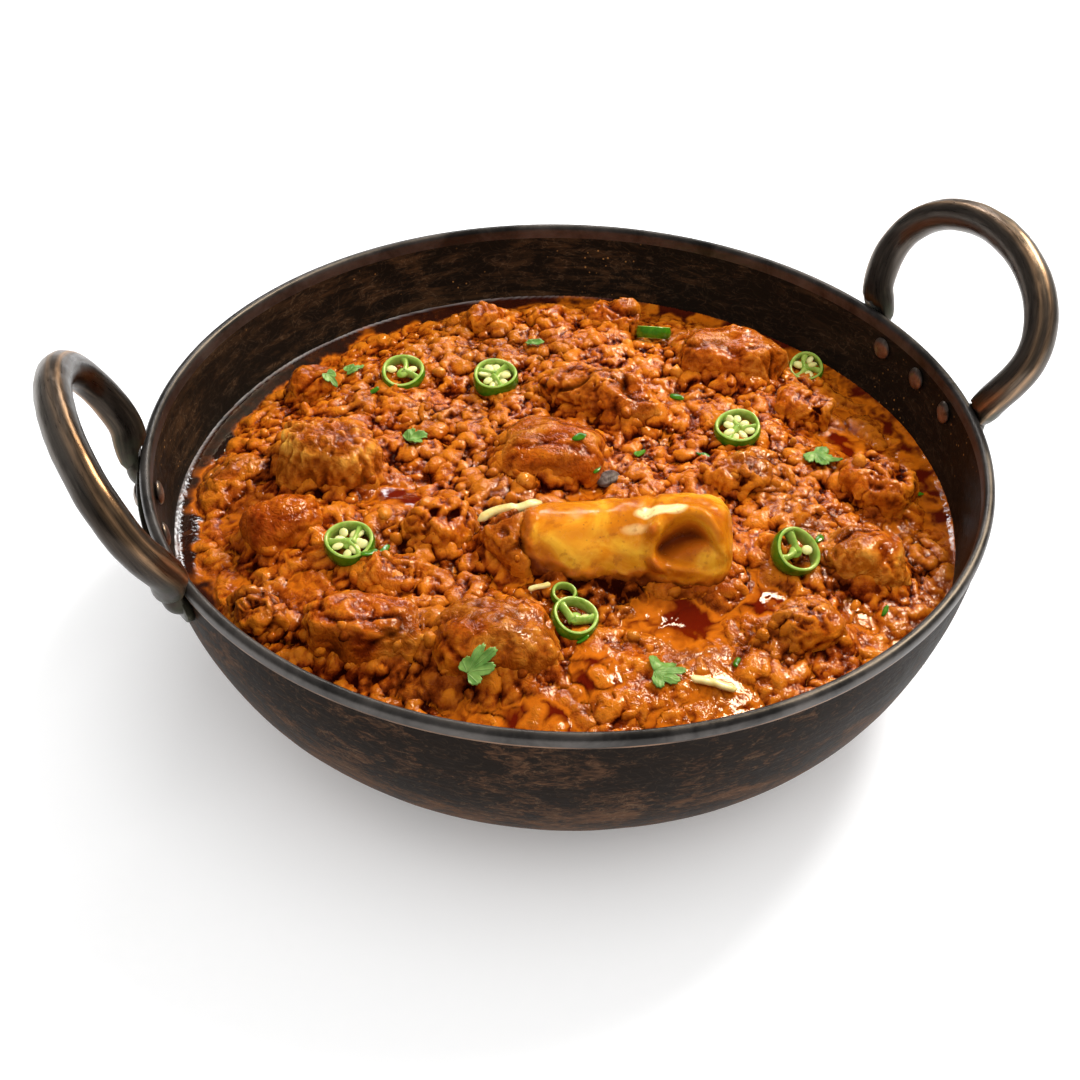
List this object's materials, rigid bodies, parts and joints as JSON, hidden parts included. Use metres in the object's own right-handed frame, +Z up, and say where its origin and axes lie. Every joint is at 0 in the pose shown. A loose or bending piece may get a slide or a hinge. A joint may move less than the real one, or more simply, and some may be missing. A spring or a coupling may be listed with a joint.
{
  "type": "mutton karahi",
  "caption": "Thick mutton curry with a marrow bone, green chilli rings, coriander and ginger, in the round-bottomed iron pan it was cooked in, with a riveted loop handle at each side.",
  "frame": {"origin": "middle of the pan's flat base, on the surface that it stands on", "axes": "+X through the middle of the right loop handle, +Z up out of the pan, +Y away from the side that the picture is taken from"},
  "size_m": [0.33, 0.2808, 0.1319],
  "materials": {
    "iron": "dark seasoned iron, satin, with worn brown streaks and fine scratches",
    "handle_iron": "dark bronze-brown iron rod, worn bright along the top",
    "rivet_iron": "hammered rivet heads, dull grey-brown",
    "gravy": "wet oily orange-brown sauce, clumpy",
    "meat": "meat coated with wet brown-orange sauce",
    "bone": "smooth yellow bone with an oily sheen",
    "chilli": "waxy green skin, paler inside",
    "leaf": "soft green leaf",
    "ginger": "moist pale yellow shred",
    "husk": "dark brown pod skin, wrinkled"
  },
  "bodies": {
    "root": {"karahi_pan": "iron", "handle_left": "handle_iron", "rivet_left_1": "rivet_iron", "rivet_left_2": "rivet_iron", "rivet_left_3": "rivet_iron", "handle_right": "handle_iron", "rivet_right_1": "rivet_iron", "rivet_right_2": "rivet_iron", "rivet_right_3": "rivet_iron", "gravy": "gravy", "marrow_bone": "bone", "bone_meat_left": "meat", "bone_meat_front": "meat", "mutton_large_left": "meat", "mutton_round_left": "meat", "mutton_edge_left": "meat", "mutton_front_left": "meat", "mutton_front": "meat", "mutton_ridge_left": "meat", "mutton_crumb_left": "meat", "mutton_middle": "meat", "mutton_ridge_back": "meat", "mutton_large_back": "meat", "mutton_small_right": "meat", "mutton_right": "meat", "mutton_fat_right": "meat", "mutton_front_right": "meat", "mutton_crumb_bone": "meat", "mutton_crumb_right": "meat", "mutton_back_left": "meat", "mutton_back_1": "meat", "mutton_back_2": "meat", "mutton_back_3": "meat", "mutton_shore_left": "meat", "chilli_1": "chilli", "chilli_2": "chilli", "chilli_3": "chilli", "chilli_4": "chilli", "chilli_5": "chilli", "chilli_6": "chilli", "chilli_7": "chilli", "chilli_8": "chilli", "chilli_9": "chilli", "coriander_1": "leaf", "coriander_2": "leaf", "coriander_3": "leaf", "coriander_4": "leaf", "coriander_5": "leaf", "coriander_6": "leaf", "coriander_7": "leaf", "ginger_1": "ginger", "ginger_2": "ginger", "ginger_3": "ginger", "cardamom_husk": "husk"}
  },
  "joints": []
}
